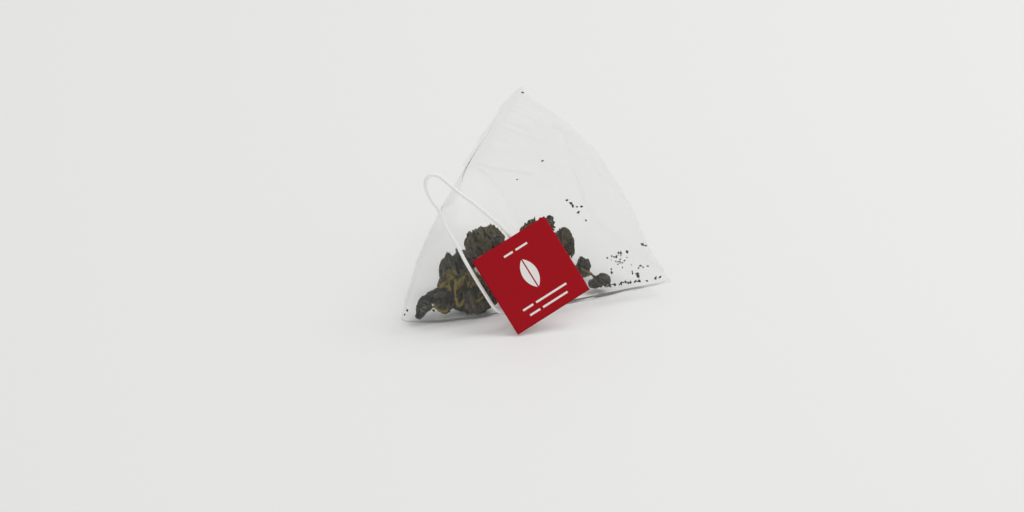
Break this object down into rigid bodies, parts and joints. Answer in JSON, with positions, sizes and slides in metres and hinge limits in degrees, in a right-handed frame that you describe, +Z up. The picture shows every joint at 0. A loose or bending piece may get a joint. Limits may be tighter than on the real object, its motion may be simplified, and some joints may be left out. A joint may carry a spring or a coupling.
{
  "type": "pyramid tea bag",
  "caption": "Four-cornered see-through mesh tea bag with rolled leaves inside, standing on its base, with a limp cotton string looping to a square card tag.",
  "frame": {"origin": "under the middle of the standing pouch, on the plane it stands on", "axes": "+Z up to the apex, +X along the front seal to the right as seen from the front, +Y from the front wall to the rear corner"},
  "size_m": [0.066, 0.0699, 0.0536],
  "materials": {
    "pouch_mesh": "fine see-through white mesh, slightly hazy",
    "cotton_string": "matt white twisted cotton",
    "tag_card": "satin red card",
    "tea_leaf": "dry rolled leaf, dark grey-green with olive folds"
  },
  "bodies": {
    "root": {"mesh_pouch": "pouch_mesh", "string": "cotton_string", "tag": "tag_card", "tea_leaf_01": "tea_leaf", "tea_leaf_02": "tea_leaf", "tea_leaf_03": "tea_leaf", "tea_leaf_04": "tea_leaf", "tea_leaf_05": "tea_leaf", "tea_leaf_06": "tea_leaf", "tea_leaf_07": "tea_leaf", "tea_leaf_08": "tea_leaf", "tea_leaf_09": "tea_leaf", "tea_leaf_10": "tea_leaf", "tea_leaf_11": "tea_leaf", "tea_leaf_12": "tea_leaf", "tea_leaf_13": "tea_leaf", "tea_leaf_14": "tea_leaf", "tea_leaf_15": "tea_leaf", "tea_leaf_16": "tea_leaf"}
  },
  "joints": []
}
